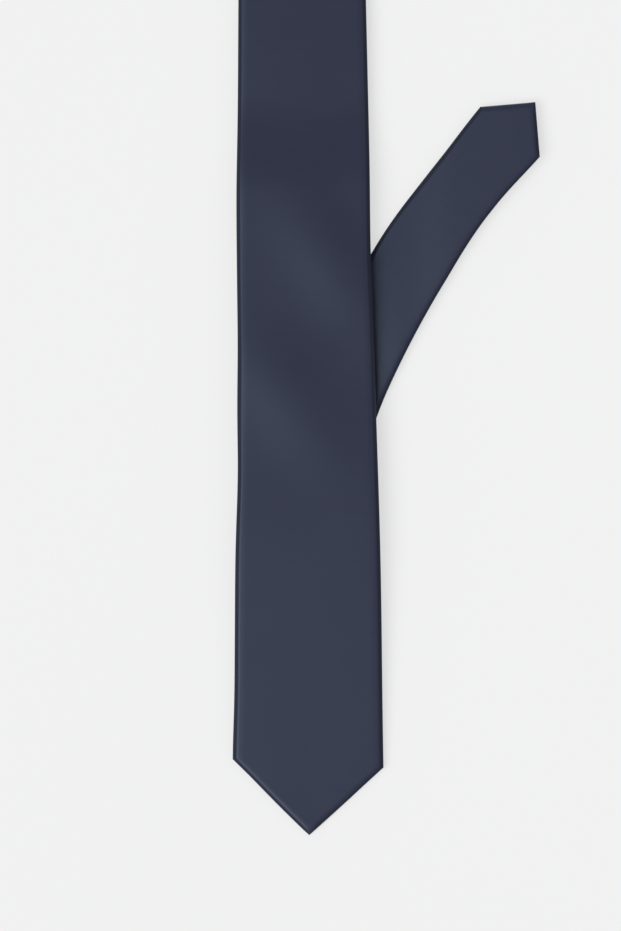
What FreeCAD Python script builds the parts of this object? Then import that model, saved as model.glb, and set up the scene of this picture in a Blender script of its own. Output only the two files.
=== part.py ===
import FreeCAD, Part
import math
import os

# A slim necktie laid face up and doubled at the neck. The front blade points along -Y, the narrow
# tail comes back under it from the neck fold at +Y, and a second fold turns the tail's end face up
# so that it leaves from under the blade to the upper right. While it is drawn, y runs from the
# front point, z is up from the table and x is measured from the blade's centre line.

doc = FreeCAD.newDocument("necktie")

SIZES = {
    # plies of one strip, from its face to its back
    "shell_gauge": 0.5,
    "lining_gauge": 1.3,
    "tipping_gauge": 0.25,
    "ply_gap": 0.05,
    # plan of the front blade
    "blade_width": 60.0,
    "neck_width": 40.5,
    "neck_reach": 715.0,
    "shoulder_reach": 29.5,
    "point_angle_left": 46.5,
    "point_angle_right": 42.2,
    # plan of the tail
    "tail_width": 31.3,
    "crease_reach": 132.0,
    "tail_curve_radius": 414.7,
    "tail_turn_start": 17.0,
    "tail_turn_end": 40.9,
    "tail_point_angle": 45.0,
    # how the layers lie over each other
    "pile_gap": 0.3,
    "stitch_room": 0.3,
    "neck_gap": 0.8,
    "rise_run": 100.0,
    "rise_lead": 14.0,
    "crossing_margin": 6.0,
    "tail_drop_run": 25.0,
    "blade_drop_run": 38.0,
    # joins between the three lengths of cloth, cut on the bias
    "front_join_lead": 105.0,
    "tail_join_lead": 75.0,
    "join_angle": 40.0,
    "join_gap": 0.1,
    # back opening over the tipping
    "hem_width": 8.0,
    "tail_hem_width": 5.0,
    "front_tack_reach": 95.0,
    "tail_tack_turn": 6.0,
    "tail_tipping_turn": 9.0,
    "seam_gap": 0.4,
    "tipping_run": 24.0,
    # threads and tacks
    "thread_width": 0.24,
    "stitch_length": 5.0,
    "stitch_pitch": 11.0,
    "tack_width": 3.0,
    "tack_length": 1.6,
    "tack_clearance": 0.05,
    "tack_recess": 0.02,
    "stitch_inset": 1.0,
    "stitch_start": 6.0,
    # keeper loop and labels on the back of the blade
    "keeper_length": 10.0,
    "keeper_edge_margin": 6.0,
    "keeper_gauge": 0.5,
    "keeper_opening": 0.6,
    "keeper_foot": 3.0,
    "keeper_lead": 3.0,
    "label_lead": 26.0,
    "label_width": 34.0,
    "label_length": 22.0,
    "label_gauge": 0.25,
    "care_lead": 8.0,
    "care_width": 16.0,
    "care_length": 26.0,
    "care_gauge": 0.2,
    "sewn_gap": 0.02,
}

# Derived sizes, as expressions on the sheet.
STRIP = "(2 * Size.shell_gauge + Size.lining_gauge + Size.tipping_gauge + 3 * Size.ply_gap)"
LEVEL_TAIL = f"({STRIP} + Size.pile_gap)"
LEVEL_BLADE = f"(2 * {LEVEL_TAIL} + Size.stitch_room)"
LEVEL_NECK = f"({STRIP} + Size.neck_gap)"
FRONT_JOIN = "(Size.neck_reach - Size.front_join_lead)"
TAIL_JOIN = "(Size.neck_reach - Size.tail_join_lead)"
TAIL_HALF = "(Size.tail_width / 2)"
CURVE_X = "(Size.tail_curve_radius * cos(Size.tail_turn_start))"
CURVE_Y = "(Size.crease_reach - Size.tail_curve_radius * sin(Size.tail_turn_start))"
CREASE_TILT = "(-Size.tail_turn_start / 2)"
CREASE_SLANT = f"({TAIL_HALF} * tan(Size.tail_turn_start / 2))"
CROSSING = (
    f"({CURVE_Y} + sqrt((Size.tail_curve_radius + {TAIL_HALF})^2 - ({CURVE_X} - {TAIL_HALF})^2))"
)
TAIL_TOP_END = f"({CROSSING} + Size.crossing_margin)"
TAIL_GROUND = f"({TAIL_TOP_END} + Size.tail_drop_run)"
BLADE_TOP_START = "(Size.crease_reach - Size.rise_lead)"
BLADE_RISE = f"({BLADE_TOP_START} - Size.rise_run)"
KEEPER_Y = f"({TAIL_GROUND} + Size.keeper_lead)"
BLADE_TOP_END = f"({KEEPER_Y} + Size.keeper_length + Size.keeper_lead)"
BLADE_LOW = f"({BLADE_TOP_END} + Size.blade_drop_run)"
LABEL_Y = f"({BLADE_LOW} + Size.label_lead)"
CARE_Y = f"({LABEL_Y} + Size.label_length + Size.care_lead)"
CAVITY_LOW = "Size.shell_gauge"
BACK_DEPTH = "(Size.shell_gauge + Size.ply_gap / 2)"
CAVITY_HIGH = f"({STRIP} - Size.shell_gauge)"
LINING_HIGH = f"({STRIP} - Size.shell_gauge - Size.ply_gap)"
LINING_LOW = f"({LINING_HIGH} - Size.lining_gauge)"
TIPPING_LOW = "(Size.shell_gauge + Size.ply_gap)"
TIPPING_HIGH = f"({TIPPING_LOW} + Size.tipping_gauge)"
INSIDE = "Size.shell_gauge"
INSIDE_LOOSE = "(Size.shell_gauge + Size.ply_gap)"

# Stations of the two straight strips: distance from the front point and height of the underside.
BLADE_LINE = [
    ("0", "0"),
    (BLADE_RISE, "0"),
    (BLADE_TOP_START, LEVEL_BLADE),
    (BLADE_TOP_END, LEVEL_BLADE),
    (BLADE_LOW, LEVEL_NECK),
    ("Size.neck_reach", LEVEL_NECK),
]
TAIL_LINE = [
    (f"(Size.crease_reach - {CREASE_SLANT} - 1)", LEVEL_TAIL),
    (TAIL_TOP_END, LEVEL_TAIL),
    (TAIL_GROUND, "0"),
    ("Size.neck_reach", "0"),
]
FAR = 1500.0  # reach of a cutting block, larger than the piece that it trims


def make_sheet():
    sheet = doc.addObject("Spreadsheet::Sheet", "Size")
    for row, (name, value) in enumerate(SIZES.items(), start=1):
        sheet.set(f"A{row}", name)
        sheet.set(f"B{row}", str(value))
        sheet.setAlias(f"B{row}", name)
    doc.recompute()
    return sheet


def bind(obj, **expressions):
    """Ties properties of an object to expressions on the sheet."""
    for prop, expression in expressions.items():
        obj.setExpression(prop, expression)


def place(obj, x="0", y="0", z="0", turn="0"):
    obj.setExpression("Placement.Base.x", x)
    obj.setExpression("Placement.Base.y", y)
    obj.setExpression("Placement.Base.z", z)
    obj.setExpression("Placement.Rotation.Angle", turn)


def box(x, y, z, length, width, height, turn="0"):
    block = doc.addObject("Part::Box", "block")
    bind(block, Length=length, Width=width, Height=height)
    place(block, x, y, z, turn)
    return block


def cut(base, tool):
    result = doc.addObject("Part::Cut", "cut")
    result.Base = base
    result.Tool = tool
    return result


def common(first, second):
    result = doc.addObject("Part::Common", "common")
    result.Base = first
    result.Tool = second
    return result


def joined(shapes):
    if len(shapes) == 1:
        return shapes[0]
    result = doc.addObject("Part::MultiFuse", "joined")
    result.Shapes = shapes
    result.Refine = True
    return result


def group(shapes):
    """Separate solids that share one node."""
    result = doc.addObject("Part::Compound", "set")
    result.Links = shapes
    return result


# ---- plan of the strips


def blade_half(y):
    slope = "(Size.blade_width - Size.neck_width) / 2 / (Size.neck_reach - Size.shoulder_reach)"
    return f"(Size.blade_width / 2 - ({y} - Size.shoulder_reach) * {slope})"


def tail_half(y):
    slope = "(Size.neck_width - Size.tail_width) / 2 / (Size.neck_reach - Size.crease_reach)"
    return f"({TAIL_HALF} + ({y} - Size.crease_reach) * {slope})"


def slab(line, half, low, high):
    """A strip along y over the line's stations, from low to high above its underside."""
    spans = []
    for (y_near, z_near), (y_far, z_far) in zip(line, line[1:]):
        span = doc.addObject("Part::Wedge", "span")
        bind(
            span,
            Ymin=y_near,
            Ymax=y_far,
            Xmin=f"-{half(y_near)}",
            Xmax=half(y_near),
            Zmin=f"{z_near} + {low}",
            Zmax=f"{z_near} + {high}",
            X2min=f"-{half(y_far)}",
            X2max=half(y_far),
            Z2min=f"{z_far} + {low}",
            Z2max=f"{z_far} + {high}",
        )
        spans.append(span)
    return joined(spans)


def blade_slab(inset, low, high):
    return slab(BLADE_LINE, lambda y: f"({blade_half(y)} - {inset})", low, high)


def tail_slab(inset, low, high):
    return slab(TAIL_LINE, lambda y: f"({tail_half(y)} - {inset})", low, high)


def narrow_slab(line, width, low, high):
    return slab(line, lambda y: f"({width} / 2)", low, high)


def beyond(x, y, turn, offset="0"):
    """A block that fills the side below a line through x, y, moved up the line's normal."""
    block = doc.addObject("Part::Box", "trim")
    block.Length, block.Width, block.Height = 2 * FAR, FAR, FAR
    reach = f"({offset} - {FAR})"
    place(
        block,
        f"{x} - {FAR} * cos({turn}) - {reach} * sin({turn})",
        f"{y} - {FAR} * sin({turn}) + {reach} * cos({turn})",
        f"-{FAR / 2}",
        turn,
    )
    return block


def window(y_low, y_high):
    """A block across the strip between two distances from the front point."""
    return box(f"-{FAR}", y_low, f"-{FAR / 2}", f"{2 * FAR}", f"{y_high} - {y_low}", f"{FAR}")


def pointed(strip, inset):
    left = cut(strip, beyond("0", "0", "-Size.point_angle_left", inset))
    return cut(left, beyond("0", "0", "Size.point_angle_right", inset))


def bias(y, side, gap="Size.join_gap / 2"):
    """Cuts away one side of a bias join at y: side 1 is nearer the front point, -1 the neck."""
    if side > 0:
        return beyond("0", y, "Size.join_angle", gap)
    return beyond("0", y, "Size.join_angle + 180", gap)


# ---- front blade


def blade_back_opening():
    """The kite between the back flaps, from the hem at the point up to the bar tack."""
    half = "(Size.blade_width / 2 - Size.hem_width)"
    kite = doc.addObject("Part::Wedge", "kite")
    bind(
        kite,
        Ymin="0",
        Ymax="Size.front_tack_reach",
        Xmin=f"-{half} / (1 - Size.shoulder_reach / Size.front_tack_reach)",
        Xmax=f"{half} / (1 - Size.shoulder_reach / Size.front_tack_reach)",
        Zmin="0",
        Zmax=f"{FAR}",
        X2min="-Size.seam_gap / 2",
        X2max="Size.seam_gap / 2",
        Z2min="0",
        Z2max=f"{FAR}",
    )
    place(kite, z=f"-{FAR / 2}")
    return common(pointed(kite, "Size.hem_width"), blade_slab(INSIDE, "-1", BACK_DEPTH))


def front_cloth():
    outer = pointed(blade_slab("0", "0", STRIP), "0")
    inner = pointed(blade_slab(INSIDE, CAVITY_LOW, CAVITY_HIGH), INSIDE)
    shell = cut(outer, inner)
    shell = cut(shell, blade_back_opening())
    slit = common(blade_slit(), window("Size.front_tack_reach - 1", "Size.neck_reach"))
    shell = cut(shell, slit)
    notch = tack_bar(BLADE_LINE, "Size.front_tack_reach", "Size.tack_clearance", "-1")
    shell = cut(shell, notch)
    return cut(shell, bias(FRONT_JOIN, -1))


def blade_slit():
    """The centre seam on the blade's back, which faces down."""
    return narrow_slab(BLADE_LINE, "Size.seam_gap", "-1", BACK_DEPTH)


def front_interlining():
    return pointed(blade_slab(INSIDE_LOOSE, LINING_LOW, LINING_HIGH), INSIDE_LOOSE)


def front_tipping():
    strip = pointed(blade_slab(INSIDE_LOOSE, TIPPING_LOW, TIPPING_HIGH), INSIDE_LOOSE)
    return common(strip, window("0", "Size.front_tack_reach + Size.tipping_run"))


def tack_bar(line, y, clearance, low):
    """The short bar of stitches at the lower end of a centre seam, or the room for it."""
    bar = narrow_slab(
        line,
        f"(Size.tack_width + 2 * {clearance})",
        low,
        f"(Size.shell_gauge - Size.tack_clearance + 2 * {clearance})",
    )
    reach = window(f"({y} - {clearance})", f"({y} + Size.tack_length + {clearance})")
    return common(bar, reach)


def front_bar_tack():
    return tack_bar(BLADE_LINE, "Size.front_tack_reach", "0", "Size.tack_recess")


def seam_stitches(line, middle, start, end, run):
    """Dashes of thread lying in a centre seam's gap, at a height above the strip's underside."""
    low = f"({middle} - Size.thread_width / 2)"
    high = f"({middle} + Size.thread_width / 2)"
    thread = common(narrow_slab(line, "Size.thread_width", low, high), window(start, end))
    gaps = []
    for count in range(int(run / SIZES["stitch_pitch"]) + 1):
        near = f"({start} + {count} * Size.stitch_pitch + Size.stitch_length)"
        gaps.append(window(near, f"({near} + Size.stitch_pitch - Size.stitch_length)"))
    return cut(thread, group(gaps))


def front_slip_stitches():
    start = "(Size.front_tack_reach + Size.stitch_start)"
    run = SIZES["neck_reach"] - SIZES["front_join_lead"] - SIZES["front_tack_reach"]
    return seam_stitches(BLADE_LINE, "Size.shell_gauge / 2", start, FRONT_JOIN, run)


def keeper_half():
    return f"({blade_half(KEEPER_Y)} - Size.keeper_edge_margin)"


def keeper_loop():
    low = f"({LEVEL_BLADE} - Size.sewn_gap - Size.keeper_opening - Size.keeper_gauge)"
    strap = box(
        f"-{keeper_half()}",
        KEEPER_Y,
        low,
        f"2 * {keeper_half()}",
        "Size.keeper_length",
        "Size.keeper_opening + Size.keeper_gauge",
    )
    hollow = box(
        f"-{keeper_half()} + Size.keeper_foot",
        f"{KEEPER_Y} - 1",
        f"{low} + Size.keeper_gauge",
        f"2 * {keeper_half()} - 2 * Size.keeper_foot",
        "Size.keeper_length + 2",
        "Size.keeper_opening + 1",
    )
    return cut(strap, hollow)


def keeper_stitches():
    drop = "Size.sewn_gap + Size.keeper_opening + Size.keeper_gauge + Size.thread_width"
    bars = []
    for side in (-1, 1):
        for end in (0, 1):
            bars.append(
                box(
                    f"{side} * ({keeper_half()} - Size.keeper_foot / 2) - Size.keeper_foot / 4",
                    f"{KEEPER_Y} + Size.stitch_inset"
                    f" + {end} * (Size.keeper_length - 2 * Size.stitch_inset - Size.tack_length)",
                    f"{LEVEL_BLADE} - ({drop})",
                    "Size.keeper_foot / 2",
                    "Size.tack_length",
                    "Size.thread_width",
                )
            )
    return group(bars)


def blank_label():
    return box(
        "-Size.label_width / 2",
        LABEL_Y,
        f"{LEVEL_NECK} - Size.sewn_gap - Size.label_gauge",
        "Size.label_width",
        "Size.label_length",
        "Size.label_gauge",
    )


def label_stitches():
    low = f"({LEVEL_NECK} - Size.sewn_gap - Size.label_gauge - Size.thread_width / 2)"
    bars = []
    for side in (-1, 1):
        for end in (0, 1):
            bars.append(
                box(
                    f"{side} * (Size.label_width / 2 - 2 * Size.stitch_inset) - Size.thread_width",
                    f"{LABEL_Y} + Size.stitch_inset"
                    f" + {end} * (Size.label_length - 2 * Size.stitch_inset - Size.stitch_length)",
                    low,
                    "2 * Size.thread_width",
                    "Size.stitch_length",
                    "Size.thread_width / 2",
                )
            )
    return group(bars)


def care_label():
    return box(
        "-Size.care_width / 2",
        CARE_Y,
        f"{LEVEL_NECK} - Size.sewn_gap - Size.care_gauge",
        "Size.care_width",
        "Size.care_length",
        "Size.care_gauge",
    )


# ---- neck


def neck_cloth_front():
    outer = blade_slab("0", "0", STRIP)
    shell = cut(outer, blade_slab_through())
    shell = cut(shell, blade_slit())
    return cut(shell, bias(FRONT_JOIN, 1))


def blade_slab_through():
    """The blade's hollow, run on past the neck so that the strip stays open there."""
    line = BLADE_LINE[:-1] + [("(Size.neck_reach + 1)", LEVEL_NECK)]
    return slab(line, lambda y: f"({blade_half(y)} - {INSIDE})", CAVITY_LOW, CAVITY_HIGH)


def tail_slab_through():
    line = [(f"(Size.crease_reach - {CREASE_SLANT} - 3)", LEVEL_TAIL)] + TAIL_LINE[1:-1]
    line.append(("(Size.neck_reach + 1)", "0"))
    return slab(line, lambda y: f"({tail_half(y)} - {INSIDE})", CAVITY_LOW, CAVITY_HIGH)


def tail_line_back_slit():
    """The centre seam on the tail's back, which faces up under the blade."""
    low = f"({STRIP} - Size.shell_gauge - Size.ply_gap / 2)"
    return narrow_slab(TAIL_LINE, "Size.seam_gap", low, f"({STRIP} + 1)")


def neck_cloth_rear():
    outer = tail_slab("0", "0", STRIP)
    shell = cut(outer, tail_slab_through())
    shell = cut(shell, tail_line_back_slit())
    return cut(shell, bias(TAIL_JOIN, 1))


def half_ring(radius, bore, length, x, y, z, turn):
    """Half a tube lying across the strip, bulging away from it: its axis runs along the fold."""
    ring = doc.addObject("Part::Cylinder", "bend")
    bind(ring, Radius=radius, Height=length, Angle="180")
    hole = doc.addObject("Part::Cylinder", "bend_bore")
    bind(hole, Radius=bore, Height=f"({length}) + 2", Angle="360")
    hole.setExpression("Placement.Base.z", "-1")
    wall = cut(ring, hole)
    wall.Placement.Rotation = FreeCAD.Rotation(FreeCAD.Vector(0, 1, 0), 90)
    shifted = doc.addObject("Part::Compound", "bend_laid")
    shifted.Links = [wall]
    place(shifted, x, y, z, turn)
    return shifted


NECK_RADIUS = f"({STRIP} + Size.neck_gap / 2)"
NECK_BORE = "(Size.neck_gap / 2)"
CREASE_RADIUS = f"({STRIP} + Size.pile_gap / 2)"
CREASE_BORE = "(Size.pile_gap / 2)"
CREASE_LENGTH = "(Size.tail_width / cos(Size.tail_turn_start / 2))"


def neck_bend(inset_radius, inset_side):
    length = f"(Size.neck_width - 2 * {inset_side})"
    return half_ring(
        f"({NECK_RADIUS} - {inset_radius})",
        f"({NECK_BORE} + {inset_radius})",
        length,
        f"-{length} / 2",
        "Size.neck_reach",
        f"{NECK_RADIUS}",
        "0",
    )


def neck_fold_cloth():
    return cut(neck_bend("0", "0"), neck_bend("Size.shell_gauge", INSIDE))


def neck_fold_interlining():
    return neck_bend("(Size.shell_gauge + Size.ply_gap)", INSIDE_LOOSE)


# ---- tail


def crease_side(side, gap="0"):
    """A block on one side of the tail's crease: 1 removes what lies towards the front point."""
    turn = CREASE_TILT if side > 0 else f"({CREASE_TILT} + 180)"
    return beyond("0", "Size.crease_reach", turn, gap)


def tail_cloth():
    outer = tail_slab("0", "0", STRIP)
    shell = cut(outer, tail_slab_through())
    shell = cut(shell, tail_line_back_slit())
    shell = cut(shell, bias(TAIL_JOIN, -1))
    return cut(shell, crease_side(1))


def tail_interlining():
    low = f"({STRIP} - {LINING_HIGH})"
    high = f"({STRIP} - {LINING_LOW})"
    return cut(tail_slab(INSIDE_LOOSE, low, high), crease_side(1, "Size.ply_gap"))


def tail_slip_stitches():
    middle = f"({STRIP} - Size.shell_gauge / 2)"
    start = "(Size.crease_reach + Size.stitch_start)"
    run = SIZES["neck_reach"] - SIZES["tail_join_lead"] - SIZES["crease_reach"]
    return seam_stitches(TAIL_LINE, middle, start, TAIL_JOIN, run)


def crease_bend(inset_radius, inset_side):
    length = f"({CREASE_LENGTH} - 2 * {inset_side})"
    return half_ring(
        f"({CREASE_RADIUS} - {inset_radius})",
        f"({CREASE_BORE} + {inset_radius})",
        length,
        f"{length} / 2 * cos({CREASE_TILT})",
        f"Size.crease_reach + {length} / 2 * sin({CREASE_TILT})",
        f"{CREASE_RADIUS}",
        f"({CREASE_TILT} + 180)",
    )


def tail_fold_cloth():
    return cut(crease_bend("0", "0"), crease_bend("Size.shell_gauge", INSIDE))


def tail_fold_interlining():
    return crease_bend("(Size.shell_gauge + Size.ply_gap)", INSIDE_LOOSE)


# ---- tail end, curving to the right across the table


def ring_sector(outer, inner, low, high, turn_from, turn_to):
    """Part of a flat ring about the tail's centre of curvature, between two headings."""
    disc = doc.addObject("Part::Cylinder", "sector")
    bind(disc, Radius=outer, Height=f"{high} - {low}", Angle=f"{turn_to} - {turn_from}")
    hole = doc.addObject("Part::Cylinder", "sector_bore")
    bind(hole, Radius=inner, Height=f"{high} - {low} + 2", Angle="360")
    hole.setExpression("Placement.Base.z", "-1")
    ring = cut(disc, hole)
    place(ring, CURVE_X, CURVE_Y, low, f"180 - {turn_to}")
    return ring


LEAD_TURN = f"(180 / pi * ({CREASE_SLANT} + 2) / Size.tail_curve_radius)"
POINT_REACH = f"({TAIL_HALF} / tan(Size.tail_point_angle))"
POINT_TURN = f"(180 / pi * ({POINT_REACH} + 2) / Size.tail_curve_radius)"
SHOULDER_X = f"({CURVE_X} - Size.tail_curve_radius * cos(Size.tail_turn_end))"
SHOULDER_Y = f"({CURVE_Y} + Size.tail_curve_radius * sin(Size.tail_turn_end))"
TACK_TURN = "(Size.tail_turn_end - Size.tail_tack_turn)"
TACK_X = f"({CURVE_X} - Size.tail_curve_radius * cos({TACK_TURN}))"
TACK_Y = f"({CURVE_Y} + Size.tail_curve_radius * sin({TACK_TURN}))"
POINT_X = f"({SHOULDER_X} + {POINT_REACH} * sin(Size.tail_turn_end))"
POINT_Y = f"({SHOULDER_Y} + {POINT_REACH} * cos(Size.tail_turn_end))"


def tail_end_plan(inset, low, high, gap="Size.ply_gap"):
    strip = ring_sector(
        f"(Size.tail_curve_radius + {TAIL_HALF} - {inset})",
        f"(Size.tail_curve_radius - {TAIL_HALF} + {inset})",
        low,
        high,
        f"(Size.tail_turn_start - {LEAD_TURN})",
        f"(Size.tail_turn_end + {POINT_TURN})",
    )
    strip = tail_point(strip, inset)
    return cut(strip, crease_side(1, gap))


def tail_point(strip, inset):
    for side in (-1, 1):
        turn = f"(180 - Size.tail_turn_end + {side} * (90 - Size.tail_point_angle))"
        strip = cut(strip, beyond(POINT_X, POINT_Y, turn, inset))
    return strip


def tail_end_cloth():
    shell = tail_end_plan("0", "0", STRIP)
    inner = tail_end_plan(INSIDE, CAVITY_LOW, CAVITY_HIGH, "-2")
    shell = cut(shell, inner)
    shell = cut(shell, tail_back_opening())
    slit = ring_sector(
        "(Size.tail_curve_radius + Size.seam_gap / 2)",
        "(Size.tail_curve_radius - Size.seam_gap / 2)",
        "(-1)",
        BACK_DEPTH,
        f"(Size.tail_turn_start - {LEAD_TURN})",
        f"({TACK_TURN} + Size.seam_gap / 2)",
    )
    shell = cut(shell, slit)
    return cut(shell, tail_tack("Size.tack_clearance", "(-1)"))


def tail_back_opening():
    """The narrow kite between the tail's back flaps, closed at the tack."""
    half = f"({TAIL_HALF} - Size.tail_hem_width)"
    run = "(Size.tail_curve_radius * pi / 180 * Size.tail_tack_turn)"
    kite = doc.addObject("Part::Wedge", "tail_kite")
    bind(
        kite,
        Ymin="0",
        Ymax=f"{run} + {POINT_REACH}",
        Xmin="-Size.seam_gap / 2",
        Xmax="Size.seam_gap / 2",
        Zmin="-1",
        Zmax=BACK_DEPTH,
        X2min=f"-{half} * (1 + {POINT_REACH} / {run})",
        X2max=f"{half} * (1 + {POINT_REACH} / {run})",
        Z2min="-1",
        Z2max=BACK_DEPTH,
    )
    place(kite, TACK_X, TACK_Y, "0", "-(Size.tail_turn_end - Size.tail_tack_turn / 2)")
    return tail_point(kite, "Size.tail_hem_width")


def tail_tack(clearance, low):
    side = f"(Size.tack_width / 2 + {clearance})"
    return box(
        f"{TACK_X} - {side} * cos({TACK_TURN}) - {clearance} * sin({TACK_TURN})",
        f"{TACK_Y} + {side} * sin({TACK_TURN}) - {clearance} * cos({TACK_TURN})",
        low,
        f"2 * {side}",
        f"Size.tack_length + 2 * {clearance}",
        f"Size.shell_gauge - Size.tack_clearance + 2 * {clearance} - {low}",
        f"-{TACK_TURN}",
    )


def tail_bar_tack():
    return tail_tack("0", "Size.tack_recess")


def tail_end_interlining():
    return tail_end_plan(INSIDE_LOOSE, LINING_LOW, LINING_HIGH, "2 * Size.ply_gap")


def tail_tipping():
    strip = tail_end_plan(INSIDE_LOOSE, TIPPING_LOW, TIPPING_HIGH)
    turn = "(Size.tail_turn_end - Size.tail_tipping_turn)"
    return cut(
        strip,
        beyond(
            f"({CURVE_X} - Size.tail_curve_radius * cos({turn}))",
            f"({CURVE_Y} + Size.tail_curve_radius * sin({turn}))",
            f"(-{turn})",
        ),
    )


def tail_end_slip_stitches():
    dashes = []
    sweep = math.radians(SIZES["tail_turn_end"] - SIZES["tail_tack_turn"] - SIZES["tail_turn_start"])
    pitches = int(SIZES["tail_curve_radius"] * sweep / SIZES["stitch_pitch"])
    step = "(180 / pi * Size.stitch_pitch / Size.tail_curve_radius)"
    for count in range(1, pitches):
        turn = f"(Size.tail_turn_start + {count} * {step})"
        dashes.append(
            box(
                f"{CURVE_X} - (Size.tail_curve_radius + Size.thread_width / 2) * cos({turn})",
                f"{CURVE_Y} + (Size.tail_curve_radius + Size.thread_width / 2) * sin({turn})",
                "Size.shell_gauge / 2 - Size.thread_width / 2",
                "Size.thread_width",
                "Size.stitch_length",
                "Size.thread_width",
                f"-{turn}",
            )
        )
    return group(dashes)


SUB_PARTS = [
    front_cloth,
    front_interlining,
    front_tipping,
    front_bar_tack,
    front_slip_stitches,
    keeper_loop,
    keeper_stitches,
    blank_label,
    label_stitches,
    care_label,
    neck_cloth_front,
    neck_fold_cloth,
    neck_fold_interlining,
    neck_cloth_rear,
    tail_cloth,
    tail_interlining,
    tail_slip_stitches,
    tail_fold_cloth,
    tail_fold_interlining,
    tail_end_cloth,
    tail_end_interlining,
    tail_tipping,
    tail_bar_tack,
    tail_end_slip_stitches,
]


def check(parts):
    for obj in doc.Objects:
        if "Invalid" in obj.State or "Error" in obj.State:
            raise RuntimeError(f"{obj.Label} did not compute: {obj.State}")
    for part in parts:
        if part.Shape.isNull() or not part.Shape.isValid() or not part.Shape.Solids:
            raise RuntimeError(f"{part.Label} has no valid solid")


def centre_on_base(parts):
    """Moves the origin from the front point to the middle of the whole tie's footprint."""
    box_all = Part.makeCompound([part.Shape for part in parts]).BoundBox
    shift = FreeCAD.Vector(-box_all.Center.x, -box_all.Center.y, -box_all.ZMin)
    for part in parts:
        part.Placement.Base = part.Placement.Base + shift
    return shift


def main():
    make_sheet()
    parts = []
    for maker in SUB_PARTS:
        part = group([maker()])
        part.Label = maker.__name__
        parts.append(part)
    doc.recompute()
    check(parts)
    shift = centre_on_base(parts)
    doc.recompute()
    check(parts)
    os.makedirs("parts", exist_ok=True)
    for part in parts:
        part.Shape.exportStep(f"parts/{part.Label}.step")
        print(f"{part.Label}: {part.Shape.Volume:.1f} mm3, {len(part.Shape.Solids)} solids")
    print("origin shift", shift)


main()
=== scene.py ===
import math
import random

import bmesh
import bpy
from mathutils import Matrix, Vector


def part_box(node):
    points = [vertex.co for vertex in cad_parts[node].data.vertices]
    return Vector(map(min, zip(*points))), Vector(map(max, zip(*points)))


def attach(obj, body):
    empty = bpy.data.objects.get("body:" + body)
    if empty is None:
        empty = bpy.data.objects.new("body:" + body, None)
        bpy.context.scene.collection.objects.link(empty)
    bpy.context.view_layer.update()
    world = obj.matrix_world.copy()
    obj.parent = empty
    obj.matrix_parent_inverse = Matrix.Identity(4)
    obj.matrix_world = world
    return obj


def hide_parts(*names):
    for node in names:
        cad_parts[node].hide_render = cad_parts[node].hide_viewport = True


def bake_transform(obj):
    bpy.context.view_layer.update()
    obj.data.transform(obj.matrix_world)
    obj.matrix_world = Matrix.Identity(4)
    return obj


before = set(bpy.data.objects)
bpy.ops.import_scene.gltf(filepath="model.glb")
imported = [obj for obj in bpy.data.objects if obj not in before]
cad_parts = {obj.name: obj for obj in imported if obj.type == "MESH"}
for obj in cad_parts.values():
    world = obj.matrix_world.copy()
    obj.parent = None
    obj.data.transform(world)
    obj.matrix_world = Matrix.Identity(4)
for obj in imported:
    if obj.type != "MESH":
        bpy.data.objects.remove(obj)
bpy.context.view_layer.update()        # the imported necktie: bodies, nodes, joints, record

random.seed(11)

# Everything below is drawn in millimetres: x from the blade's centre line, y from the front point,
# z up from the table. inFrame turns that into the frame's own metres.
mm = 0.001
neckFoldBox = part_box("neck_fold_cloth")
bladeMiddle = (neckFoldBox[0].x + neckFoldBox[1].x) / 2
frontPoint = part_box("front_cloth")[0].y


def inFrame(x, y, z):
    return (bladeMiddle + x * mm, frontPoint + y * mm, z * mm)


def heightOf(node, corner):
    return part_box(node)[corner].z / mm


def alongAt(node, corner):
    return (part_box(node)[corner].y - frontPoint) / mm


# How the strip lies: levels above the table, then places along it from the front point.
lay = {
    "depth": heightOf("tail_end_cloth", 1),  # thickness of the whole strip
    "bladeOver": heightOf("front_cloth", 1) - heightOf("tail_end_cloth", 1),
    "tailOver": heightOf("tail_fold_cloth", 1) - heightOf("tail_end_cloth", 1),
    "neckOver": heightOf("neck_cloth_front", 0),
    "neckReach": (neckFoldBox[0].y - frontPoint) / mm,
    "creaseReach": 132.0,
    "creaseTilt": 8.5,  # degrees off square
    "bladeRise": (16.0, 119.0),
    "bladeDrop": (257.98, 295.98),
    "riseSoft": 14.0,  # how far the corners of the rise are rounded off
    "tailDrop": (216.98, 241.98),
    "curveRadius": 414.7,  # the curve of the tail's end, and the degrees where it starts and stops
    "curveStart": 17.0,
    "curveEnd": 40.9,
}
halfDepth = lay["depth"] / 2
neckAxis = (lay["neckOver"] + lay["depth"]) / 2
neckMiddle = lay["neckOver"] + halfDepth - neckAxis
neckArc = math.pi * neckMiddle
creaseAxis = (lay["tailOver"] + lay["depth"]) / 2
creaseMiddle = creaseAxis - halfDepth
creaseArc = math.pi * creaseMiddle
tailStart = lay["neckReach"] + neckArc  # distance along the tie where the tail begins
creaseAlong = (math.cos(math.radians(lay["creaseTilt"])), -math.sin(math.radians(lay["creaseTilt"])))
creaseOut = (creaseAlong[1], -creaseAlong[0])
creaseSlope = math.tan(math.radians(lay["creaseTilt"]))
curveCentre = (
    lay["curveRadius"] * math.cos(math.radians(lay["curveStart"])),
    lay["creaseReach"] - lay["curveRadius"] * math.sin(math.radians(lay["curveStart"])),
)


def ease(t):
    t = min(1.0, max(0.0, t))
    return t * t * (3 - 2 * t)


def between(y, span):
    return ease((y - span[0]) / (span[1] - span[0]))


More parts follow.
